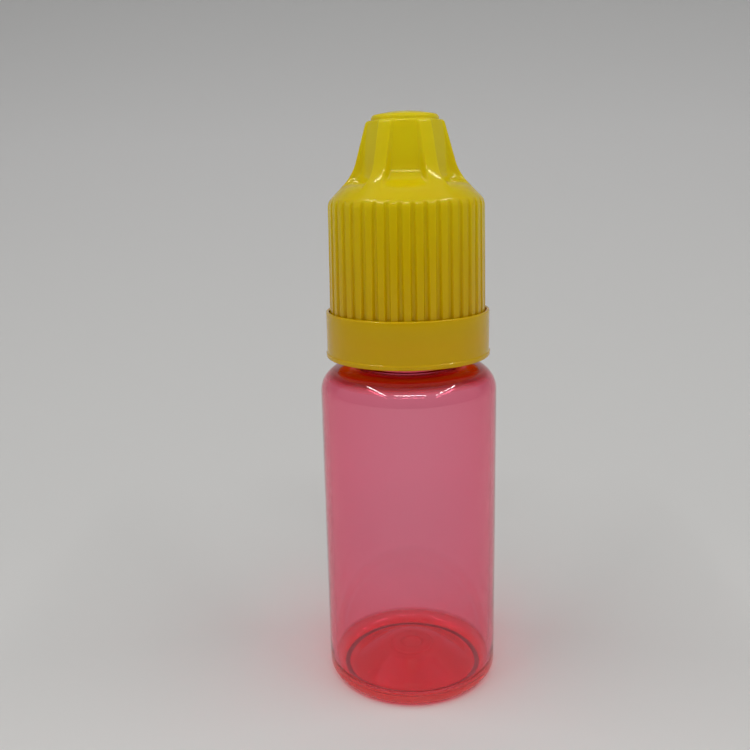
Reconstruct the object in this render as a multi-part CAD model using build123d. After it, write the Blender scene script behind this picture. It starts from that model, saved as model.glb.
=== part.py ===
from build123d import *
import os
from math import atan2, hypot, radians, tan

# Small dropper bottle with a push-and-turn cap. Millimetres, +Z up, origin on the floor under the bottle's
# axis. Radii are measured from the axis, and heights from the floor unless a name says otherwise.

# Small roundings of moulded edges
edge_break = 0.1
edge_round = 0.2
soft_round = 0.3
root_round = 0.4

# How far a cut runs past the faces that it goes through
cut_through = 1.0

# Bottle body
body_radius = 10.5
body_wall = 0.7
base_wall = 0.9
heel_round = 1.6
shoulder_height = 39.4
shoulder_round = 3.0
shoulder_rise = 0.5
throat_round = 0.5
standing_inset = 3.1
standing_round = 2.5
push_up = 2.4
dish_margin = 0.7
dish_round = 5.0
dish_slope_share = 0.45
gate_dimple_radius = 2.5
gate_dimple_depth = 0.15
gate_nub_radius = 1.25
gate_nub_height = 0.35

# Bottle neck
neck_bore = 4.4
neck_wall = 1.35
neck_height = 15.1
neck_rim_round = 0.3
collar_step = 0.25
bead_face = 0.4
bead_height = 1.1

# Threads, right-handed with one start
thread_lead = 3.0
thread_turns = 1.5
thread_depth = 0.75
thread_base = 1.24
thread_crest = 0.7
thread_root_gap = 0.35
thread_crest_gap = 0.3
thread_flank_offset = 1.15
thread_bury = 0.15
thread_start_above_rim = 0.65

# Dropper tip
flange_radius = 5.7
flange_thickness = 1.0
plug_length = 6.0
plug_wall = 0.8
plug_interference = 0.02
plug_lead_in = 0.4
nozzle_height = 8.0
nozzle_base_radius = 2.2
nozzle_top_radius = 1.3
nozzle_rim_round = 0.35
orifice_radius = 0.4
orifice_length = 4.5
funnel_radius = 1.2
funnel_round = 0.8

# Inner cap
inner_cap_wall = 0.9
inner_cap_seat_gap = 0.1
plate_thickness = 1.2
plate_chamfer = 0.8
tower_gap = 0.4
tower_gap_top = 0.6
tower_wall = 0.7
tower_roof = 1.2
seal_pin_gap = 0.07
seal_pin_length = 1.0

# Push-to-turn drive between the caps
push_travel = 1.2
landing_gap = 0.1
lug_gap = 0.2
lug_count = 6
lug_angle = 20
lug_inner_radius = 4.6
lug_outer_radius = 6.0
lug_bury = 0.3

# Outer cap
cap_running_gap = 0.2
grip_wall = 1.2
grip_draft = 0.17
grip_over_plate = 2.0
grip_round = 1.3
groove_count = 40
groove_depth = 0.4
groove_floor_width = 0.3
groove_side_width = 0.48
groove_mouth_width = 0.84
groove_corner_drop = 0.16
flare_angle = 45
flare_wall_drop = 1.0
flare_round = 5.0
snap_grip = 0.25
snap_height = 0.7
snap_gap = 0.1
roof_gap = 1.4
roof_edge = 0.2

# Nose of the outer cap
nose_gap = 0.6
nose_wall = 0.9
throat_of_nose_round = 1.0
flute_count = 6
flute_depth_bottom = 1.26
flute_depth_top = 0.3
flute_width_bottom = 3.4
flute_width_top = 2.6
flute_foot_lift = 0.2
flute_floor_round = 0.3
flute_foot_round = 0.8
nose_edge_round = 0.5
button_inset = 0.55
button_step = 0.55
button_crown = 0.45
crown_flat_radius = 1.6
crown_round = 8.0
button_round = 0.5

# Tamper ring
ring_lift = 1.0
ring_height = 5.4
ring_floor_thickness = 1.6
ring_lip_wall = 0.35
ring_lip_gap = 0.1
ring_foot_step = 0.1
ring_foot_height = 0.5
ring_edge_round = 0.17
catch_thickness = 1.2
catch_gap = 0.35
catch_lift_gap = 0.2
upstand_wall = 0.35
upstand_gap = 0.1
upstand_over_bead = 0.5
push_floor_gap = 0.3
snap_side_gap = 0.15
ring_relief_depth = 0.9
ring_relief_wall = 0.6
bridge_count = 8
bridge_radius = 0.16
bridge_break_gap = 0.05

# Push-up under the base: a slope from the standing ring up to a flat dish. Each rounding at its two ends
# uses at most a share of the slope.
standing_radius = body_radius - standing_inset
dish_radius = gate_dimple_radius + dish_margin
dish_slope = hypot(standing_radius - dish_radius, push_up)
dish_half_turn = atan2(push_up, standing_radius - dish_radius) / 2
largest_slope_round = dish_slope_share * dish_slope / tan(dish_half_turn)
dish_end_round = min(dish_round, largest_slope_round)
standing_end_round = min(standing_round, largest_slope_round)

# Radii worked outwards from the neck's bore
neck_root = neck_bore + neck_wall
neck_thread_radius = neck_root + thread_depth
collar_radius = neck_root + collar_step
inner_cap_bore = neck_thread_radius + thread_root_gap
inner_cap_radius = inner_cap_bore + inner_cap_wall
inner_thread_radius = neck_root + thread_crest_gap
cap_bore = inner_cap_radius + cap_running_gap
grip_radius = cap_bore + grip_wall
grip_top_radius = grip_radius - grip_draft
snap_radius = inner_cap_radius - snap_grip
upstand_outer = snap_radius - snap_side_gap
upstand_inner = upstand_outer - upstand_wall
bead_radius = upstand_inner - upstand_gap
catch_radius = collar_radius + catch_gap
ring_bore = grip_radius + ring_lip_gap
ring_radius = ring_bore + ring_lip_wall
tower_bore_bottom = nozzle_base_radius + tower_gap
tower_bore_top = nozzle_top_radius + tower_gap_top
tower_radius_bottom = tower_bore_bottom + tower_wall
tower_radius_top = tower_bore_top + tower_wall
nose_bore_bottom = tower_radius_bottom + nose_gap
nose_bore_top = tower_radius_top + nose_gap
nose_floor_bottom = nose_bore_bottom + nose_wall
nose_floor_top = nose_bore_top + nose_wall
nose_root_radius = nose_floor_bottom + flute_depth_bottom
nose_top_radius = nose_floor_top + flute_depth_top
button_radius = nose_top_radius - button_inset
seal_pin_radius = orifice_radius - seal_pin_gap

# Heights worked upwards from the shoulder
collar_foot = shoulder_height + shoulder_rise
ring_bottom = collar_foot + ring_lift
ring_top = ring_bottom + ring_height
catch_top = ring_bottom + catch_thickness
bead_bottom = catch_top + catch_lift_gap
bead_top = bead_bottom + bead_height
channel_floor = ring_bottom + ring_floor_thickness
skirt_bottom = channel_floor + push_travel + push_floor_gap
snap_top = skirt_bottom + snap_height
inner_cap_rim = snap_top + snap_gap
upstand_top = bead_top + upstand_over_bead
inner_thread_start = inner_cap_rim + thread_base / 2 + thread_start_above_rim
neck_thread_start = inner_thread_start + thread_flank_offset
neck_top = shoulder_height + neck_height
flange_top = neck_top + flange_thickness
nozzle_top = flange_top + nozzle_height
plate_bottom = flange_top + inner_cap_seat_gap
plate_top = plate_bottom + plate_thickness
tower_ceiling = nozzle_top + inner_cap_seat_gap
tower_top = tower_ceiling + tower_roof
lug_height = push_travel - lug_gap + landing_gap
outer_lug_bottom = plate_top + lug_height + lug_gap
grip_top = plate_top + grip_over_plate
nose_root = grip_top + (grip_top_radius - nose_root_radius) * tan(radians(flare_angle))
cone_bottom = grip_top - flare_wall_drop
cone_top = cone_bottom + (cap_bore - nose_bore_bottom) * tan(radians(flare_angle))
cap_ceiling = tower_top + push_travel + roof_gap
nose_edge = cap_ceiling + roof_edge
cap_top = nose_edge + button_step + button_crown
flute_foot = nose_root + flute_foot_lift


def turned(corners, angle=360):
    """A solid of revolution from (radius, height, rounding) corners."""
    points = [(radius, height) for radius, height, _ in corners]
    roundings = [rounding for _, _, rounding in corners]
    outline = FilletPolyline(*points, radius=roundings, close=True)
    return revolve(Plane.XZ * make_face(outline.edges()), Axis.Z, angle)


def tube(inner, outer, bottom, top):
    """A plain ring between two radii and two heights."""
    return turned([(inner, bottom, 0), (outer, bottom, 0), (outer, top, 0), (inner, top, 0)])


def disc(radius, bottom, top):
    """A plain round block about the axis, between two heights."""
    return turned([(0, bottom, 0), (radius, bottom, 0), (radius, top, 0), (0, top, 0)])


def around(solid, count, start=0):
    """Copies of a solid, evenly spaced about the axis."""
    return [Rot(0, 0, start + 360 * turn / count) * solid for turn in range(count)]


def helical_thread(base_radius, crest_radius, first_height):
    """A trapezoid ridge wound about the axis, with its base buried in the wall that carries it."""
    outwards = 1 if crest_radius > base_radius else -1
    buried_radius = base_radius - outwards * thread_bury
    flank_spread = (thread_base - thread_crest) / 2 * thread_bury / abs(crest_radius - base_radius)
    buried_half = thread_base / 2 + flank_spread
    section = Polyline(
        (buried_radius, first_height - buried_half),
        (crest_radius, first_height - thread_crest / 2),
        (crest_radius, first_height + thread_crest / 2),
        (buried_radius, first_height + buried_half),
        close=True,
    )
    path = Helix(thread_lead, thread_lead * thread_turns, (base_radius + crest_radius) / 2)
    return sweep(Plane.XZ * make_face(section.edges()), path=Pos(0, 0, first_height) * path, is_frenet=True)


def make_bottle():
    shell = turned([
        (0, push_up, 0),
        (dish_radius, push_up, dish_end_round),
        (standing_radius, 0, standing_end_round),
        (body_radius, 0, heel_round),
        (body_radius, shoulder_height, shoulder_round),
        (collar_radius, collar_foot, root_round),
        (collar_radius, bead_bottom, 0),
        (bead_radius, bead_bottom, edge_break),
        (bead_radius, bead_bottom + bead_face, 0),
        (neck_root, bead_top, soft_round),
        (neck_root, neck_top, neck_rim_round),
        (neck_bore, neck_top, neck_rim_round / 2),
        (neck_bore, collar_foot - body_wall, throat_round),
        (body_radius - body_wall, shoulder_height - body_wall, shoulder_round - body_wall),
        (body_radius - body_wall, base_wall, heel_round),
        (standing_radius, base_wall, standing_end_round),
        (dish_radius, push_up + base_wall, dish_end_round),
        (0, push_up + base_wall, 0),
    ])
    dimple = disc(gate_dimple_radius, push_up - gate_nub_height, push_up + gate_dimple_depth)
    nub = disc(gate_nub_radius, push_up - gate_nub_height, push_up + base_wall / 2)
    return shell - dimple + nub + helical_thread(neck_root, neck_thread_radius, neck_thread_start)


def make_dropper_tip():
    plug_radius = neck_bore + plug_interference
    plug_bottom = neck_top - plug_length
    body = turned([
        (0, plug_bottom, 0),
        (plug_radius, plug_bottom, plug_lead_in),
        (plug_radius, neck_top, 0),
        (flange_radius, neck_top, edge_break),
        (flange_radius, flange_top, soft_round),
        (nozzle_base_radius, flange_top, soft_round),
        (nozzle_top_radius, nozzle_top, nozzle_rim_round),
        (0, nozzle_top, 0),
    ])
    channel = turned([
        (0, plug_bottom - cut_through, 0),
        (plug_radius - plug_wall, plug_bottom - cut_through, 0),
        (plug_radius - plug_wall, neck_top - plug_wall, funnel_round),
        (funnel_radius, neck_top, soft_round),
        (orifice_radius, nozzle_top - orifice_length, soft_round),
        (orifice_radius, nozzle_top + cut_through, 0),
        (0, nozzle_top + cut_through, 0),
    ])
    return body - channel


def make_inner_cap():
    shell = turned([
        (inner_cap_bore, inner_cap_rim, edge_round),
        (inner_cap_radius, inner_cap_rim, edge_break),
        (inner_cap_radius, plate_top - plate_chamfer, 0),
        (inner_cap_radius - plate_chamfer, plate_top, 0),
        (tower_radius_bottom, plate_top, root_round),
        (tower_radius_top, tower_top, root_round),
        (0, tower_top, 0),
        (0, tower_ceiling - seal_pin_length, 0),
        (seal_pin_radius, tower_ceiling - seal_pin_length, edge_break),
        (seal_pin_radius, tower_ceiling, 0),
        (tower_bore_top, tower_ceiling, soft_round),
        (tower_bore_bottom, plate_bottom, 0),
        (inner_cap_bore, plate_bottom, 0),
    ])
    lug = turned([
        (lug_inner_radius, plate_top - lug_bury, 0),
        (lug_outer_radius, plate_top - lug_bury, 0),
        (lug_outer_radius, plate_top + lug_height, 0),
        (lug_inner_radius, plate_top + lug_height, 0),
    ], lug_angle)
    ridge = helical_thread(inner_cap_bore, inner_thread_radius, inner_thread_start)
    return shell + around(lug, lug_count) + ridge


def make_drive_lug():
    """One lug under the outer cap's cone, reaching up into the cone's wall."""
    rise = tan(radians(flare_angle))
    cone_inside = cone_bottom + (cap_bore - lug_inner_radius) * rise + lug_bury
    cone_outside = cone_bottom + (cap_bore - lug_outer_radius) * rise + lug_bury
    return turned([
        (lug_inner_radius, outer_lug_bottom, 0),
        (lug_outer_radius, outer_lug_bottom, 0),
        (lug_outer_radius, cone_outside, 0),
        (lug_inner_radius, cone_inside, 0),
    ], lug_angle)


def make_groove():
    """The dark channel between two grip ribs, with broken corners at its mouth."""
    floor_radius = grip_radius - groove_depth
    side_radius = grip_radius - groove_corner_drop
    beyond = grip_radius + groove_depth
    section = Polyline(
        (floor_radius, -groove_floor_width / 2),
        (side_radius, -groove_side_width / 2),
        (grip_radius, -groove_mouth_width / 2),
        (beyond, -groove_mouth_width / 2),
        (beyond, groove_mouth_width / 2),
        (grip_radius, groove_mouth_width / 2),
        (side_radius, groove_side_width / 2),
        (floor_radius, groove_floor_width / 2),
        close=True,
    )
    length = grip_top - skirt_bottom + 2 * cut_through
    return extrude(Pos(0, 0, skirt_bottom - cut_through) * make_face(section.edges()), length)


def make_flute():
    """The hollow cut between two lobes of the nose: a flat floor, short walls and a rounded foot."""
    reach = nose_root_radius
    slope = (nose_floor_top - nose_floor_bottom) / (nose_edge - nose_root)
    top = nose_edge + button_step
    foot_floor = nose_floor_bottom + slope * (flute_foot - nose_root)
    top_floor = nose_floor_bottom + slope * (top - nose_root)
    foot = Pos(foot_floor + reach / 2, 0, flute_foot) * Rectangle(reach, flute_width_bottom)
    head = Pos(top_floor + reach / 2, 0, top) * Rectangle(reach, flute_width_top)
    cutter = loft([foot, head])
    foot_edge = cutter.faces().sort_by(Axis.X)[0].edges().sort_by(Axis.Z)[0]
    cutter = fillet(foot_edge, flute_foot_round)
    upright = cutter.edges().filter_by(lambda edge: edge.bounding_box().size.Z > reach / 2)
    return fillet(upright.sort_by(Axis.X)[:2], flute_floor_round)


def make_outer_cap():
    shell = turned([
        (snap_radius, skirt_bottom, edge_round),
        (grip_radius, skirt_bottom, edge_round),
        (grip_top_radius, grip_top, grip_round),
        (nose_root_radius, nose_root, flare_round),
        (nose_top_radius, nose_edge, nose_edge_round),
        (button_radius, nose_edge, 0),
        (button_radius, nose_edge + button_step, button_round),
        (crown_flat_radius, cap_top, crown_round),
        (0, cap_top, 0),
        (0, cap_ceiling, 0),
        (nose_bore_top, cap_ceiling, root_round),
        (nose_bore_bottom, cone_top, throat_of_nose_round),
        (cap_bore, cone_bottom, soft_round),
        (cap_bore, snap_top, 0),
        (snap_radius, snap_top, edge_break),
    ])
    lugs = around(make_drive_lug(), lug_count, 180 / lug_count)
    grooves = around(make_groove(), groove_count, 180 / groove_count)
    flutes = around(make_flute(), flute_count, -90)
    return shell - grooves - flutes + lugs


def make_tamper_ring():
    ring_foot = ring_radius + ring_foot_step
    body = turned([
        (catch_radius, ring_bottom, edge_break),
        (ring_foot, ring_bottom, ring_edge_round),
        (ring_foot, ring_bottom + ring_foot_height, 0),
        (ring_radius, ring_bottom + ring_foot_height + ring_foot_step, 0),
        (ring_radius, ring_top, ring_edge_round),
        (ring_bore, ring_top, edge_break),
        (ring_bore, channel_floor, edge_break),
        (upstand_outer, channel_floor, 0),
        (upstand_outer, upstand_top, 0),
        (upstand_inner, upstand_top, 0),
        (upstand_inner, catch_top, 0),
        (catch_radius, catch_top, edge_round),
    ])
    relief = tube(
        upstand_outer,
        ring_radius - ring_relief_wall,
        ring_bottom - cut_through,
        ring_bottom + ring_relief_depth,
    )
    bridge_middle = (upstand_inner + upstand_outer) / 2
    bridge = Pos(bridge_middle, 0, 0) * disc(
        bridge_radius, upstand_top - bridge_radius, inner_cap_rim - bridge_break_gap
    )
    return body - relief + around(bridge, bridge_count)


pieces = {
    "bottle": make_bottle(),
    "dropper_tip": make_dropper_tip(),
    "inner_cap": make_inner_cap(),
    "outer_cap": make_outer_cap(),
    "tamper_ring": make_tamper_ring(),
}
os.makedirs("parts", exist_ok=True)
for name, piece in pieces.items():
    export_step(piece, f"parts/{name}.step")
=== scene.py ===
from math import atan2, ceil, cos, pi, radians, sin, sqrt, tan

import bmesh
import bpy
from mathutils import Matrix, Vector


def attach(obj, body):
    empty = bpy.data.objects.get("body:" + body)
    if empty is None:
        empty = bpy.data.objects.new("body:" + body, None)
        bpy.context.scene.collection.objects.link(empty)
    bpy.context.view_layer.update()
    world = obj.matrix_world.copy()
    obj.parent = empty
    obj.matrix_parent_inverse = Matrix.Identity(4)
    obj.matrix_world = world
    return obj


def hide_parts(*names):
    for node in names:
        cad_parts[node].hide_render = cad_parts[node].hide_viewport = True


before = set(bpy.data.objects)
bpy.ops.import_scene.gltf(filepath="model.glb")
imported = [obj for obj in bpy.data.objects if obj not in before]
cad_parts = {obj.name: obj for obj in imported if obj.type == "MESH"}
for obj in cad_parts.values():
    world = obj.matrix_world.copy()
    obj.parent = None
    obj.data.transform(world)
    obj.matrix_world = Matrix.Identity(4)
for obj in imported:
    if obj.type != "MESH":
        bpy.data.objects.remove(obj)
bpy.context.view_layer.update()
MM = 0.001

# Bottle body, in millimetres
body_radius = 10.5
body_wall = 0.7
base_wall = 0.9
heel_round = 1.6
shoulder_height = 39.4
shoulder_round = 3.0
shoulder_rise = 0.5
throat_round = 0.5
standing_radius = 7.4
standing_round = 2.5
push_up = 2.4
dish_radius = 3.2
dish_round = 5.0
gate_dimple_radius = 2.5
gate_dimple_depth = 0.15
gate_nub_radius = 1.25
gate_nub_height = 0.35

# Bottle neck and thread
neck_bore = 4.4
neck_root = 5.75
collar_radius = 6.0
neck_top = 54.5
bead_radius = 6.9
bead_bottom = 42.3
bead_face = 0.4
bead_top = 43.4
thread_lead = 3.0
thread_turns = 1.5
thread_depth = 0.75
thread_half_base = 0.62
thread_half_crest = 0.35
thread_start = 47.22
thread_fade_turn = 0.12
thread_edge = 0.08

# Dye of the bottle's plastic: what two walls let through. The band round the neck is painted shade, a dark
# red that stands in for the shaded underside of the ring seen through the shoulder
dye_colour = (1.0, 0.0, 0.298, 1)
dye_density = 1000.0
shade_band_tint = (0.85, 0.2, 0.14, 1)
shade_band_radius = 9.6
shade_band_depth = 2.5
shade_band_red = (0.40, 0.004, 0.002, 1)
shade_band_share = 0.85
base_red = (0.8, 0.12, 0.12, 1)
base_share = 0.7
heel_red = (0.85, 0.07, 0.075, 1)
heel_share = 0.62
heel_top = 2.5
heel_fade = 1.0
lamp_share = (0.78, 0.78, 0.78, 1)

# Painted glow: emission on the cap plastic below the ring's top, which stands in for light that leaks through
# the thin ring and cap into the space under them
leak_glow_colour = (0.34, 0.045, 0.0, 1)
leak_top = 43.6
leak_edge = 0.3

# Outer cap
cap_bore = 7.95
snap_radius = 7.5
skirt_bottom = 44.0
snap_top = 44.7
grip_radius = 9.15
grip_top_radius = 8.98
grip_top = 58.8
grip_round = 1.3
rib_count = 40
groove_floor_radius = 8.75
groove_half_floor = 0.13
groove_half_mouth = 0.46
nose_root_radius = 6.06
nose_root = 61.72
nose_top_radius = 4.4
nose_edge = 67.6
flare_round = 5.0
flute_count = 6
flute_floor_bottom = 4.8
flute_floor_top = 4.1
flute_half_bottom = 1.5
flute_half_top = 1.15
flute_foot = 60.75
flute_foot_round = 1.9
flute_wall_run = 0.22
button_radius = 3.85
button_step = 0.55
cap_top = 68.6
crown_flat_radius = 1.6
crown_round = 8.0
nose_bore_bottom = 3.9
nose_bore_top = 3.2
cap_ceiling = 67.4
cone_bottom = 57.8
cone_top = 61.85
lug_inner = 4.6
lug_outer = 6.0
lug_bottom = 58.1
lug_count = 6
lug_start = 30
lug_width = 20
lug_bury = 0.3
fold_blend = 0.55

# Tamper ring
ring_bottom = 40.9
ring_top = 46.3
ring_radius = 9.6
ring_bore = 9.25
ring_foot_step = 0.1
ring_foot_height = 0.5
channel_floor = 42.5
catch_radius = 6.35
catch_top = 42.1
upstand_inner = 7.0
upstand_outer = 7.35
upstand_top = 43.9
ring_relief_radius = 9.0
ring_relief_top = 41.8
bridge_count = 8
bridge_radius = 0.16
bridge_top = 44.75

# The light tent, in metres
strip_left = -0.221
strip_right = 0.275
strip_front = -0.311
strip_front_left = -0.137
strip_front_right = 0.165
strip_back = 0.05
strip_height = 0.4
strip_width = 0.014
strip_radiance = 26.0
tent_roof = 0.47
tent_front = 0.14
sweep_half_width = 0.9
sweep_front = -0.5
sweep_back = 0.32
sweep_top = 0.9
sweep_bend = 0.28

# The camera, fitted to the bottle's outline in the photograph's 750 by 750 frame
camera_distance = 99.43
camera_height = 61.75
camera_pitch = 13.267
camera_yaw = -2.304
camera_roll = -1.302
focal_pixels = 850.0
frame_pixels = 750.0
sensor_width = 36.0


# Outlines and turned shapes

def outline_face(bm, corners, segments):
    """A flat face in the plane of radius and height, with each corner (radius, height, rounding) rounded."""
    verts = [bm.verts.new((radius * MM, 0, height * MM)) for radius, height, _ in corners]
    bm.faces.new(verts)
    rounded = []
    count = len(corners)
    for index, (radius, height, rounding) in enumerate(corners):
        if not rounding:
            continue
        here = Vector((radius, height))
        before = Vector(corners[index - 1][:2]) - here
        after = Vector(corners[(index + 1) % count][:2]) - here
        half_turn = (pi - before.angle(after)) / 2
        rounded.append((verts[index], rounding * tan(half_turn) * MM))
    for vert, tangent in rounded:
        bmesh.ops.bevel(
            bm, geom=[vert], offset=tangent, offset_type="OFFSET", segments=segments,
            profile=0.5, affect="VERTICES", material=-1, clamp_overlap=False,
        )


def turned(corners, steps, segments=8, longest=None):
    """A closed bmesh turned about the axis, with its long outline edges cut to at most longest millimetres.

    An eighth is spun, and then doubled three times, which is many times quicker than one full spin.
    """
    bm = bmesh.new()
    outline_face(bm, corners, segments)
    bmesh.ops.delete(bm, geom=bm.faces[:], context="FACES_ONLY")
    on_axis = [edge for edge in bm.edges if all(abs(vert.co.x) < 1e-7 for vert in edge.verts)]
    bmesh.ops.delete(bm, geom=on_axis, context="EDGES")
    if longest:
        for edge in bm.edges[:]:
            cuts = ceil(edge.calc_length() / (longest * MM)) - 1
            if cuts > 0:
                bmesh.ops.subdivide_edges(bm, edges=[edge], cuts=cuts)
    bmesh.ops.spin(
        bm, geom=bm.verts[:] + bm.edges[:], cent=(0, 0, 0), axis=(0, 0, 1), dvec=(0, 0, 0),
        angle=pi / 4, steps=steps // 8, use_duplicate=False,
    )
    for angle in (pi / 4, pi / 2, pi):
        copied = bmesh.ops.duplicate(bm, geom=bm.verts[:] + bm.edges[:] + bm.faces[:])
        verts = [item for item in copied["geom"] if isinstance(item, bmesh.types.BMVert)]
        bmesh.ops.rotate(bm, verts=verts, cent=(0, 0, 0), matrix=Matrix.Rotation(angle, 3, "Z"))
        bmesh.ops.remove_doubles(bm, verts=bm.verts[:], dist=1e-6)
    bmesh.ops.recalc_face_normals(bm, faces=bm.faces[:])
    return bm


def piece_from(bm, name, sharp_angle=35):
    """A smooth-shaded object from a bmesh, with edges over sharp_angle degrees kept sharp."""
    mesh = bpy.data.meshes.new(name)
    bm.to_mesh(mesh)
    bm.free()
    mesh.shade_smooth()
    mesh.set_sharp_from_angle(angle=radians(sharp_angle))
    piece = bpy.data.objects.new(name, mesh)
    bpy.context.scene.collection.objects.link(piece)
    return piece


def smooth_step(low, high, value):
    """0 below low, 1 above high and an even S between them."""
    share = min(max((value - low) / (high - low), 0.0), 1.0)
    return share * share * (3 - 2 * share)


def soft_min(a, b, blend):
    """The smaller of two lengths, with a fillet of about blend where they cross."""
    gap = max(blend - abs(a - b), 0.0) / blend
    return min(a, b) - gap * gap * blend / 4


def turn_from(angle, count):
    """The signed angle from the nearest of count evenly spaced directions, the first at 0."""
    pitch = 2 * pi / count
    return (angle + pitch / 2) % pitch - pitch / 2


# The see-through bottle

def thread_height(angle, height):
    """How far the neck's thread stands out at a point of the neck, in millimetres."""
    turn = (angle % (2 * pi)) / (2 * pi)
    stands = 0.0
    for extra in range(ceil(thread_turns) + 1):
        wound = turn + extra
        if wound > thread_turns:
            break
        away = abs(height - thread_start - wound * thread_lead)
        flank = 1 - smooth_step(thread_half_crest - thread_edge, thread_half_base + thread_edge, away)
        fade_in = smooth_step(0, thread_fade_turn, wound)
        fade_out = smooth_step(0, thread_fade_turn, thread_turns - wound)
        stands = max(stands, thread_depth * flank * fade_in * fade_out)
    return stands


def make_bottle():
    collar_foot = shoulder_height + shoulder_rise
    bm = turned([
        (0, push_up - gate_nub_height, 0),
        (gate_nub_radius, push_up - gate_nub_height, 0.3),
        (gate_nub_radius + 0.15, push_up + gate_dimple_depth, 0.15),
        (gate_dimple_radius, push_up + gate_dimple_depth, 0.2),
        (gate_dimple_radius + 0.15, push_up, 0.1),
        (dish_radius, push_up, 2.0),
        (standing_radius, 0, standing_round),
        (body_radius, 0, heel_round),
        (body_radius, shoulder_height, shoulder_round),
        (collar_radius, collar_foot, 0.4),
        (collar_radius, bead_bottom, 0.1),
        (bead_radius, bead_bottom, 0.1),
        (bead_radius, bead_bottom + bead_face, 0.15),
        (neck_root, bead_top, 0.3),
        (neck_root, neck_top, 0.3),
        (neck_bore, neck_top, 0.15),
        (neck_bore, collar_foot - body_wall, throat_round),
        (body_radius - body_wall, shoulder_height - body_wall, shoulder_round - body_wall),
        (body_radius - body_wall, base_wall, heel_round),
        (standing_radius, base_wall, standing_round),
        (dish_radius, push_up + base_wall, dish_round),
        (0, push_up + base_wall, 0),
    ], steps=224, segments=10, longest=1.6)
    neck_wall_edges = [
        edge for edge in bm.edges
        if all(abs(sqrt(v.co.x ** 2 + v.co.y ** 2) - neck_root * MM) < 1e-6 for v in edge.verts)
        and abs(edge.verts[0].co.z - edge.verts[1].co.z) > 1e-6
    ]
    bmesh.ops.subdivide_edges(bm, edges=neck_wall_edges, cuts=8, use_grid_fill=True)
    for vert in bm.verts:
        radius = sqrt(vert.co.x ** 2 + vert.co.y ** 2)
        if abs(radius - neck_root * MM) > 1e-6:
            continue
        stands = thread_height(atan2(vert.co.y, vert.co.x), vert.co.z / MM)
        vert.co.xy *= (neck_root + stands) / neck_root
    return piece_from(bm, "bottle_shell", sharp_angle=50)


# The yellow outer cap

def groove_radius(angle, _height):
    """The radius of the grip's surface where a groove cuts it, and more than the grip's between grooves."""
    across = abs(turn_from(angle + pi / rib_count, rib_count)) * grip_radius
    rise = smooth_step(groove_half_floor, groove_half_mouth, across)
    return groove_floor_radius + (grip_radius - groove_floor_radius + 0.12) * rise


def flute_radius(angle, height):
    """The radius of the nose where a flute cuts it: a flat floor, rounded walls and a rounded foot."""
    away = turn_from(angle + pi / 2, flute_count)
    up = (height - nose_root) / (nose_edge - nose_root)
    floor_here = flute_floor_bottom + (flute_floor_top - flute_floor_bottom) * up
    half = flute_half_bottom + (flute_half_top - flute_half_bottom) * up
    sideways = abs(floor_here * tan(away))
    wall = max(sideways - half, 0.0) / flute_wall_run
    below = max(flute_foot + flute_foot_round - height, 0.0)
    if below < flute_foot_round:
        foot = flute_foot_round - sqrt(flute_foot_round ** 2 - below ** 2)
    else:
        foot = flute_foot_round + (below - flute_foot_round) * 3
    return (floor_here + foot + wall * wall * flute_wall_run) / cos(away)


def add_lugs(cap):
    """Adds the drive lugs that stand down from the cone inside the cap."""
    slope = (cone_top - cone_bottom) / (nose_bore_bottom - cap_bore)
    bm = bmesh.new()
    outline_face(bm, [
        (lug_inner, lug_bottom, 0.15),
        (lug_outer, lug_bottom, 0.15),
        (lug_outer, cone_bottom + slope * (lug_outer - cap_bore) + lug_bury, 0),
        (lug_inner, cone_bottom + slope * (lug_inner - cap_bore) + lug_bury, 0),
    ], 3)
    bmesh.ops.spin(
        bm, geom=bm.faces[:], cent=(0, 0, 0), axis=(0, 0, 1), dvec=(0, 0, 0),
        angle=radians(lug_width), steps=5, use_duplicate=False,
    )
    bmesh.ops.rotate(
        bm, verts=bm.verts[:], cent=(0, 0, 0), matrix=Matrix.Rotation(radians(lug_start), 3, "Z"),
    )
    bmesh.ops.recalc_face_normals(bm, faces=bm.faces[:])
    lug = bpy.data.meshes.new("drive_lug")
    bm.to_mesh(lug)
    bm.free()
    for _ in range(lug_count):
        cap.from_mesh(lug)
        lug.transform(Matrix.Rotation(2 * pi / lug_count, 4, "Z"))
    bpy.data.meshes.remove(lug)


def make_outer_cap():
    bm = turned([
        (snap_radius, skirt_bottom, 0.2),
        (grip_radius, skirt_bottom, 0.2),
        (grip_top_radius, grip_top, grip_round),
        (nose_root_radius, nose_root, flare_round),
        (nose_top_radius, nose_edge, 0.5),
        (button_radius, nose_edge, 0.08),
        (button_radius, nose_edge + button_step, 0.45),
        (crown_flat_radius, cap_top, crown_round),
        (0, cap_top, 0),
        (0, cap_ceiling, 0),
        (nose_bore_top, cap_ceiling, 0.4),
        (nose_bore_bottom, cone_top, 1.0),
        (cap_bore, cone_bottom, 0.3),
        (cap_bore, snap_top, 0),
        (snap_radius, snap_top, 0.1),
    ], steps=rib_count * 16, segments=6, longest=0.9)
    for vert in bm.verts:
        radius = sqrt(vert.co.x ** 2 + vert.co.y ** 2) / MM
        height = vert.co.z / MM
        angle = atan2(vert.co.y, vert.co.x)
        cut = radius
        if radius > groove_floor_radius - 0.4 and height < grip_top + 1:
            cut = soft_min(radius, groove_radius(angle, height), 0.08)
        elif height > nose_root - 1.2 and radius > button_radius + 0.02:
            cut = soft_min(radius, flute_radius(angle, height), fold_blend)
        if cut < radius:
            vert.co.xy *= cut / radius
    add_lugs(bm)
    return piece_from(bm, "grip_cap_shell", sharp_angle=40)


# The tamper ring

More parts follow.
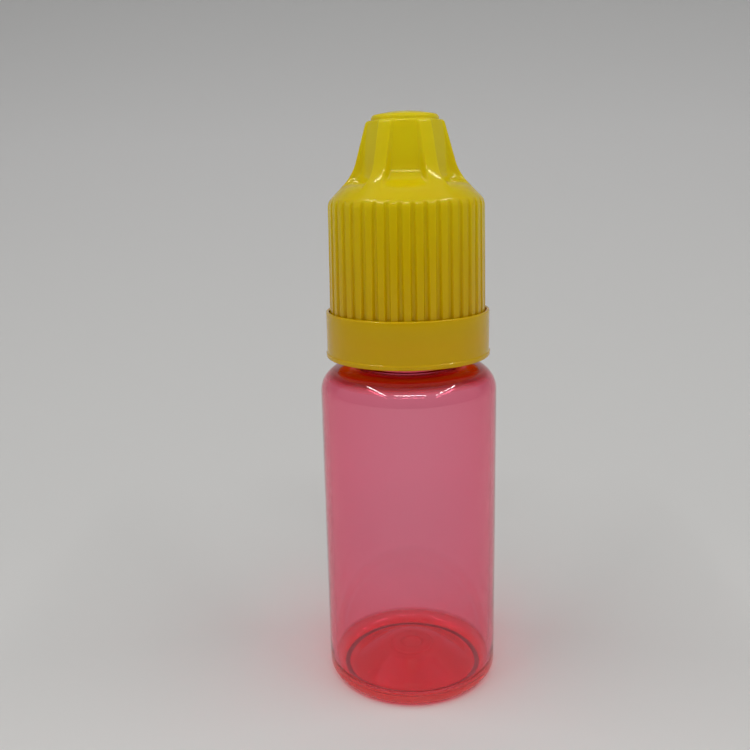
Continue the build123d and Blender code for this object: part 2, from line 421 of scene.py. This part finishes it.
def make_tamper_ring():
    ring_foot = ring_radius + ring_foot_step
    bm = turned([
        (catch_radius, ring_bottom, 0.1),
        (upstand_outer, ring_bottom, 0.1),
        (upstand_outer, ring_relief_top, 0.1),
        (ring_relief_radius, ring_relief_top, 0.1),
        (ring_relief_radius, ring_bottom, 0.1),
        (ring_foot, ring_bottom, 0.17),
        (ring_foot, ring_bottom + ring_foot_height, 0.1),
        (ring_radius, ring_bottom + ring_foot_height + ring_foot_step, 0.1),
        (ring_radius, ring_top, 0.17),
        (ring_bore, ring_top, 0.1),
        (ring_bore, channel_floor, 0.1),
        (upstand_outer, channel_floor, 0.05),
        (upstand_outer, upstand_top, 0.05),
        (upstand_inner, upstand_top, 0.05),
        (upstand_inner, catch_top, 0.05),
        (catch_radius, catch_top, 0.2),
    ], steps=256, segments=6, longest=1.0)
    middle = (upstand_inner + upstand_outer) / 2
    for number in range(bridge_count):
        angle = 2 * pi * number / bridge_count
        height = bridge_top - upstand_top + bridge_radius
        place = Matrix.Translation((
            middle * cos(angle) * MM, middle * sin(angle) * MM, (bridge_top - height / 2) * MM
        ))
        bmesh.ops.create_cone(
            bm, cap_ends=True, cap_tris=False, segments=12, radius1=bridge_radius * MM,
            radius2=bridge_radius * MM * 0.7, depth=height * MM, matrix=place,
        )
    return piece_from(bm, "tamper_band", sharp_angle=40)


# Shader maths

class Value:
    """A shader socket that adds Math nodes when it's used in an expression."""

    def __init__(self, tree, socket):
        self.tree = tree
        self.socket = socket

    def maths(self, operation, first, second):
        return node(self.tree, "ShaderNodeMath", {"operation": operation}, {0: first, 1: second})

    def __add__(self, other):
        return self.maths("ADD", self, other)

    __radd__ = __add__

    def __sub__(self, other):
        return self.maths("SUBTRACT", self, other)

    def __rsub__(self, other):
        return self.maths("SUBTRACT", other, self)

    def __mul__(self, other):
        return self.maths("MULTIPLY", self, other)

    __rmul__ = __mul__


def node(tree, kind, settings=None, inputs=None, output=0):
    """A node with its settings made first, then the values or links of its sockets. Gives one output."""
    made = tree.nodes.new(kind)
    for name, value in (settings or {}).items():
        if name == "stops":
            ramp = made.color_ramp
            while len(ramp.elements) < len(value):
                ramp.elements.new(0.5)
            for element, (place, colour) in zip(ramp.elements, value):
                element.position = place
                element.color = colour
        else:
            setattr(made, name, value)
    for name, value in (inputs or {}).items():
        if isinstance(value, Value):
            tree.links.new(value.socket, made.inputs[name])
        else:
            made.inputs[name].default_value = value
    return Value(tree, made.outputs[output])


def new_material(name):
    material = bpy.data.materials.new(name)
    material.use_nodes = True
    tree = material.node_tree
    tree.nodes.clear()
    return material, tree


def finish_material(tree, surface, volume=None):
    out = tree.nodes.new("ShaderNodeOutputMaterial")
    tree.links.new(surface.socket, out.inputs["Surface"])
    if volume:
        tree.links.new(volume.socket, out.inputs["Volume"])


def object_height(tree):
    """Object coordinates, and the height in millimetres as a value."""
    place = node(tree, "ShaderNodeTexCoord", output="Object")
    height = node(tree, "ShaderNodeSeparateXYZ", inputs={0: place}, output="Z")
    return place, height * 1000


# Finishes

def yellow_plastic():
    """Glossy moulded cap plastic, yellower in the thin nose and warmer towards the ring, darker there partly
    as painted shade, with a painted glow low inside the ring.
    """
    material, tree = new_material("yellow_cap_plastic")
    place, height = object_height(tree)
    mottle = node(tree, "ShaderNodeTexNoise", {}, {"Vector": place, "Scale": 260.0, "Detail": 3.0})
    # Lighter and yellower higher up. This is partly the plastic's own tone, warmer where it is thick at the
    # ring, and partly painted shade: darker at the ring and lighter on the upward-facing nose
    rise = (height - 44) * (1 / 22) + (mottle - 0.5) * 0.18
    colour = node(tree, "ShaderNodeValToRGB", {"stops": [
        (0.0, (0.62, 0.375, 0.0, 1)),
        (0.4, (0.67, 0.455, 0.0, 1)),
        (0.75, (0.73, 0.555, 0.001, 1)),
        (1.0, (0.77, 0.62, 0.002, 1)),
    ]}, {0: rise})
    grain = node(tree, "ShaderNodeTexNoise", {}, {"Vector": place, "Scale": 2600.0, "Detail": 2.0})
    waves = node(tree, "ShaderNodeTexNoise", {}, {"Vector": place, "Scale": 120.0, "Detail": 1.0})
    bump = node(tree, "ShaderNodeBump", {}, {
        "Strength": 0.06, "Distance": 0.0002, "Height": grain * 0.25 + waves,
    })
    across = node(tree, "ShaderNodeVectorMath", {"operation": "MULTIPLY"}, {0: place, 1: (1000, 1000, 0)})
    radius = node(tree, "ShaderNodeVectorMath", {"operation": "LENGTH"}, {0: across}, output="Value")
    # Painted glow: the cap plastic low inside the ring emits, standing in for leaked light
    low = node(tree, "ShaderNodeMath", {"operation": "LESS_THAN"}, {0: height, 1: leak_top})
    inside = node(tree, "ShaderNodeMath", {"operation": "LESS_THAN"}, {0: radius, 1: ring_radius - leak_edge})
    painted_leak_glow = node(tree, "ShaderNodeMix", {"data_type": "RGBA"}, {
        "Factor": low * inside, 6: (0, 0, 0, 1), 7: leak_glow_colour,
    }, output=2)
    surface = node(tree, "ShaderNodeBsdfPrincipled", {}, {
        "Base Color": colour,
        "Roughness": 0.12 + (grain - 0.5) * 0.05,
        "IOR": 1.49,
        "Specular IOR Level": 0.42,
        "Specular Tint": (1.0, 0.9, 0.45, 1),
        "Subsurface Weight": 0.25,
        "Subsurface Radius": (0.9, 0.5, 0.05),
        "Subsurface Scale": 0.0012,
        "Normal": bump,
        "Emission Color": painted_leak_glow,
        "Emission Strength": 1.0,
    })
    finish_material(tree, surface)
    return material


def tinted_plastic():
    """Clear blown plastic with a pink-red dye through its wall, and deep red in the thick heel.

    Round the neck a dark red band is painted shade: the shaded underside of the ring, seen through the
    shoulder. Lamps shine through it, so its shadow is a pink glow.
    """
    material, tree = new_material("tinted_clear_plastic")
    place, height = object_height(tree)
    waves = node(tree, "ShaderNodeTexNoise", {}, {"Vector": place, "Scale": 90.0, "Detail": 2.0})
    bump = node(tree, "ShaderNodeBump", {}, {"Strength": 0.05, "Distance": 0.0004, "Height": waves})
    across = node(tree, "ShaderNodeVectorMath", {"operation": "MULTIPLY"}, {0: place, 1: (1000, 1000, 0)})
    radius = node(tree, "ShaderNodeVectorMath", {"operation": "LENGTH"}, {0: across}, output="Value")
    # Painted shade: a dark red band round the neck that stands in for the shaded underside of the ring, which
    # the shoulder shows by inner reflection
    shade_band_ramp = node(tree, "ShaderNodeValToRGB", {"stops": [
        (0.22, (0, 0, 0, 1)),
        (0.39, (1, 1, 1, 1)),
        (0.80, (1, 1, 1, 1)),
        (0.95, (0, 0, 0, 1)),
    ]}, {0: (radius - collar_radius) * (1 / (shade_band_radius - collar_radius)) + (waves - 0.5) * 0.15})
    up_here = node(tree, "ShaderNodeMath", {"operation": "GREATER_THAN"}, {
        0: height, 1: shoulder_height - shade_band_depth,
    })
    painted_shade_band = shade_band_ramp * up_here
    tint = node(tree, "ShaderNodeMix", {"data_type": "RGBA"}, {
        "Factor": painted_shade_band, 6: (1, 1, 1, 1), 7: shade_band_tint,
    }, output=2)
    surface = node(tree, "ShaderNodeBsdfPrincipled", {}, {
        "Base Color": tint,
        "Roughness": 0.03,
        "IOR": 1.56,
        "Transmission Weight": 1.0,
        "Normal": bump,
    })
    low = node(tree, "ShaderNodeMapRange", {"interpolation_type": "SMOOTHSTEP"}, {
        "Value": height, "From Min": heel_top, "From Max": heel_top - heel_fade, "To Min": 0.0, "To Max": 1.0,
    })
    base_rise = node(tree, "ShaderNodeMapRange", {}, {
        "Value": radius, "From Min": standing_radius, "From Max": dish_radius, "To Max": push_up,
    })
    heel_rise = node(tree, "ShaderNodeMapRange", {}, {
        "Value": radius, "From Min": body_radius - heel_round, "From Max": body_radius, "To Max": heel_top,
    })
    wall_middle = base_rise + heel_rise + base_wall / 2
    underside = node(tree, "ShaderNodeMath", {"operation": "LESS_THAN"}, {0: height, 1: wall_middle})
    outside = node(tree, "ShaderNodeMath", {"operation": "GREATER_THAN"}, {
        0: radius, 1: body_radius - heel_round,
    })
    heel = low * outside * underside
    base_or_heel = node(tree, "ShaderNodeMix", {"data_type": "RGBA"}, {
        "Factor": heel, 6: base_red, 7: heel_red,
    }, output=2)
    # The opaque red share is lit deep red in the base and heel, and painted shade in the band round the neck
    solid_red_and_shade_colour = node(tree, "ShaderNodeMix", {"data_type": "RGBA"}, {
        "Factor": painted_shade_band, 6: base_or_heel, 7: shade_band_red,
    }, output=2)
    opaque_red_and_shade = node(tree, "ShaderNodeBsdfPrincipled", {}, {
        "Base Color": solid_red_and_shade_colour, "Roughness": 0.08, "IOR": 1.56,
    })
    base = underside * (1 - outside)
    share = painted_shade_band * shade_band_share + heel * heel_share + base * base_share
    solid = node(tree, "ShaderNodeMixShader", {}, {0: share, 1: surface, 2: opaque_red_and_shade})
    lamp_ray = node(tree, "ShaderNodeLightPath", output="Is Shadow Ray")
    clear = node(tree, "ShaderNodeBsdfTransparent", {}, {"Color": lamp_share})
    through = node(tree, "ShaderNodeMixShader", {}, {0: lamp_ray, 1: solid, 2: clear})
    dye = node(tree, "ShaderNodeVolumeAbsorption", {}, {"Color": dye_colour, "Density": dye_density})
    finish_material(tree, through, dye)
    return material


def natural_plastic():
    """Milky soft plastic of the dropper tip."""
    material, tree = new_material("natural_soft_plastic")
    place, _ = object_height(tree)
    cloud = node(tree, "ShaderNodeTexNoise", {}, {"Vector": place, "Scale": 500.0, "Detail": 2.0})
    colour = node(tree, "ShaderNodeValToRGB", {"stops": [
        (0.3, (0.70, 0.70, 0.66, 1)),
        (0.7, (0.78, 0.78, 0.75, 1)),
    ]}, {0: cloud})
    bump = node(tree, "ShaderNodeBump", {}, {"Strength": 0.1, "Distance": 0.0001, "Height": cloud})
    surface = node(tree, "ShaderNodeBsdfPrincipled", {}, {
        "Base Color": colour,
        "Roughness": 0.42 + (cloud - 0.5) * 0.1,
        "IOR": 1.51,
        "Subsurface Weight": 0.6,
        "Subsurface Radius": (1.0, 1.0, 0.9),
        "Subsurface Scale": 0.001,
        "Normal": bump,
    })
    finish_material(tree, surface)
    return material


# The plain studio

def make_studio():
    """A pale floor that sweeps up into the backdrop, with painted shade making the paper darker higher up."""
    bm = bmesh.new()
    corners = [(sweep_front, 0), (sweep_back, 0), (sweep_back, sweep_top)]
    verts = [bm.verts.new((-sweep_half_width, y, z)) for y, z in corners]
    edges = [bm.edges.new(pair) for pair in zip(verts, verts[1:])]
    bmesh.ops.bevel(
        bm, geom=[verts[1]], offset=sweep_bend, offset_type="OFFSET", segments=32, profile=0.5,
        affect="VERTICES", material=-1, clamp_overlap=False,
    )
    made = bmesh.ops.extrude_edge_only(bm, edges=bm.edges[:])
    moved = [item for item in made["geom"] if isinstance(item, bmesh.types.BMVert)]
    bmesh.ops.translate(bm, verts=moved, vec=(2 * sweep_half_width, 0, 0))
    bmesh.ops.recalc_face_normals(bm, faces=bm.faces[:])
    sweep = piece_from(bm, "studio_sweep")
    material, tree = new_material("studio_paper")
    place = node(tree, "ShaderNodeTexCoord", output="Object")
    height = node(tree, "ShaderNodeSeparateXYZ", inputs={0: place}, output="Z")
    # Painted shade: the paper's colour darkens with height, standing in for the dimmer upper backdrop
    colour = node(tree, "ShaderNodeValToRGB", {"stops": [
        (0.0, (0.75, 0.745, 0.73, 1)),
        (0.45, (0.68, 0.675, 0.67, 1)),
        (1.0, (0.50, 0.50, 0.495, 1)),
    ]}, {0: height * 6.0})
    surface = node(tree, "ShaderNodeBsdfPrincipled", {}, {"Base Color": colour, "Roughness": 0.75})
    finish_material(tree, surface)
    sweep.data.materials.append(material)


def strip_light(name, start, end):
    """A row of lamps in the tent's roof, between two points in metres, facing the bottle."""
    start, end = Vector(start), Vector(end)
    middle = (start + end) / 2
    data = bpy.data.lights.new(name, "AREA")
    data.shape = "RECTANGLE"
    data.size = (end - start).length
    data.size_y = strip_width
    data.energy = strip_radiance * pi * data.size * data.size_y
    lamp = bpy.data.objects.new(name, data)
    along = (end - start).normalized()
    towards = (Vector((0, 0, 0.04)) - middle).normalized()
    back = -(towards - towards.dot(along) * along).normalized()
    turn = Matrix((along, back.cross(along), back)).transposed().to_4x4()
    lamp.matrix_world = Matrix.Translation(middle) @ turn
    bpy.context.scene.collection.objects.link(lamp)


def make_lights():
    """A frame of lamp strips in the roof of a pale tent, which is darker at its open front."""
    for name, start, end in (
        ("left_strip", (strip_left, strip_front), (strip_left, strip_back)),
        ("right_strip", (strip_right, strip_front), (strip_right, strip_back)),
        ("front_strip", (strip_front_left, strip_front), (strip_front_right, strip_front)),
    ):
        strip_light(name, (*start, strip_height), (*end, strip_height))
    world = bpy.data.worlds.new("tent")
    world.use_nodes = True
    tree = world.node_tree
    tree.nodes.clear()
    direction = node(tree, "ShaderNodeTexCoord", output="Generated")
    behind = node(tree, "ShaderNodeSeparateXYZ", inputs={0: direction}, output="Y")
    above = node(tree, "ShaderNodeSeparateXYZ", inputs={0: direction}, output="Z")
    strength = node(tree, "ShaderNodeValToRGB", {"stops": [
        (0.0, (tent_front, tent_front, tent_front, 1)),
        (1.0, (tent_roof, tent_roof, tent_roof, 1)),
    ]}, {0: behind * 0.4 + above * 0.9 + 0.45})
    air = node(tree, "ShaderNodeBackground", {}, {"Color": strength})
    out = tree.nodes.new("ShaderNodeOutputWorld")
    tree.links.new(air.socket, out.inputs["Surface"])
    bpy.context.scene.world = world


def make_camera():
    pitch, yaw, roll = radians(camera_pitch), radians(camera_yaw), radians(camera_roll)
    ahead = Vector((sin(yaw) * cos(pitch), cos(yaw) * cos(pitch), -sin(pitch)))
    right = Vector((cos(yaw), -sin(yaw), 0))
    up = right.cross(ahead)
    rolled_right = cos(roll) * right + sin(roll) * up
    rolled_up = -sin(roll) * right + cos(roll) * up
    data = bpy.data.cameras.new("camera")
    data.sensor_fit = "HORIZONTAL"
    data.sensor_width = sensor_width
    data.lens = focal_pixels / frame_pixels * sensor_width
    data.clip_start = 0.005
    camera = bpy.data.objects.new("camera", data)
    turn = Matrix((rolled_right, rolled_up, -ahead)).transposed().to_4x4()
    camera.matrix_world = Matrix.Translation((0, -camera_distance * MM, camera_height * MM)) @ turn
    bpy.context.scene.collection.objects.link(camera)
    bpy.context.scene.camera = camera


def dress(piece, body, node_name, material):
    piece.data.materials.append(material)
    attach(piece, body)
    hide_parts(node_name)


yellow = yellow_plastic()
dress(make_bottle(), "bottle", "bottle", tinted_plastic())
dress(make_outer_cap(), "grip_cap", "outer_cap", yellow)
dress(make_tamper_ring(), "ring", "tamper_ring", yellow)
for node_name, material in (("inner_cap", yellow), ("dropper_tip", natural_plastic())):
    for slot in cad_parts[node_name].material_slots:
        slot.material = material
make_studio()
make_lights()
make_camera()
bpy.context.scene.view_settings.view_transform = "Standard"
bpy.context.scene.view_settings.look = "None"
